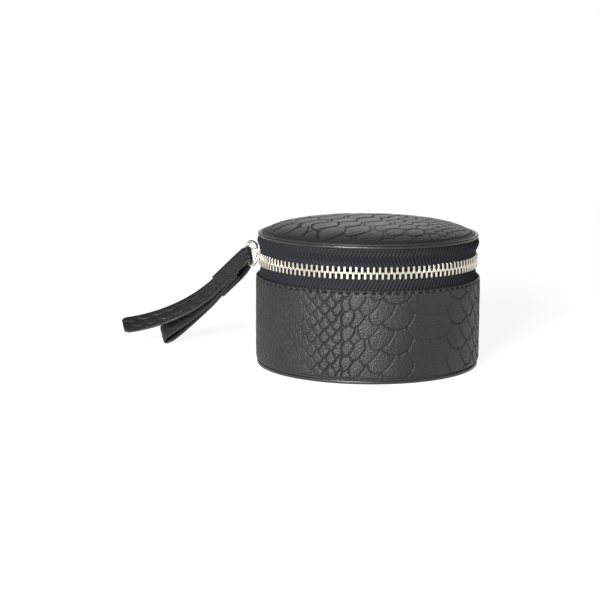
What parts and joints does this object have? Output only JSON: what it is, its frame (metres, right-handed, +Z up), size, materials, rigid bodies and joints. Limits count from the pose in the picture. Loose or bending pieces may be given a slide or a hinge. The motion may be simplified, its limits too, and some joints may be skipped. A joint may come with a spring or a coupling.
{
  "type": "leather jewellery case",
  "caption": "Round zip-around leather jewellery case with a padded hinged lid, a mirror, divided inside with ring rolls, and a leather wrist strap on the zip pull.",
  "frame": {"origin": "centre of the underside, on the table", "axes": "+Z up, the lid hinges at +Y, the zip closes at the left of the hinge (-X, +Y) and opens round the front (-Y)"},
  "size_m": [0.1356, 0.1474, 0.0675],
  "materials": {
    "leather": "black reptile-embossed leather with a soft sheen",
    "lining": "dark grey brushed suede lining",
    "board": "grey-brown stiffening board",
    "tape": "blue-black herringbone woven zip tape",
    "metal": "warm bright nickel",
    "thread": "black waxed thread",
    "padding": "soft foam padding",
    "glass": "silvered mirror"
  },
  "bodies": {
    "base": {"bottom_leather": "leather", "base_floor_board": "board", "base_wall_board": "board", "base_wall_leather": "leather", "base_stitching": "thread", "base_wall_lining": "lining", "base_floor_lining": "lining", "divider_long": "lining", "divider_cross": "lining", "ring_bed": "lining", "ring_roll_front": "lining", "ring_roll_middle": "lining", "ring_roll_back": "lining", "zip_tape_lower": "tape", "zip_teeth_lower": "metal", "zip_end_stop": "metal", "hinge_leather": "leather", "hinge_lining": "lining"},
    "lid": {"lid_board": "board", "lid_wall_board": "board", "lid_padding": "padding", "lid_leather": "leather", "lid_piping": "leather", "lid_lining": "lining", "lid_wall_lining": "lining", "mirror_frame": "leather", "mirror_glass": "glass", "zip_tape_upper": "tape", "zip_teeth_upper": "metal", "tape_end_left": "tape", "tape_end_right": "tape"},
    "slider": {"slider_body": "metal", "slider_bail": "metal"},
    "ring": {"pull_ring": "metal"},
    "strap": {"strap_wrap": "leather", "strap_tail": "leather", "strap_loop": "leather", "strap_stitching": "thread"}
  },
  "joints": [
    {"name": "lid_hinge", "type": "hinge", "parent": "base", "child": "lid", "pos_m": [0, 0.0506, 0.04975], "axis": [-1, 0, 0], "range_deg": [0, 110], "deforming": ["hinge_leather", "hinge_lining", "tape_end_left", "tape_end_right", "zip_teeth_lower", "zip_teeth_upper"]},
    {"name": "slider_travel", "type": "hinge", "parent": "base", "child": "slider", "pos_m": [0, 0, 0.04975], "axis": [0, 0, 1], "range_deg": [0, 274]},
    {"name": "ring_swing", "type": "hinge", "parent": "slider", "child": "ring", "pos_m": [-0.03474, 0.04151, 0.05149], "axis": [-0.2517, -0.6415, -0.7247], "range_deg": [-35, 10]},
    {"name": "strap_swing", "type": "hinge", "parent": "ring", "child": "strap", "pos_m": [-0.03699, 0.04652, 0.04783], "axis": [-0.2517, -0.6415, -0.7247], "range_deg": [-20, 30]}
  ]
}
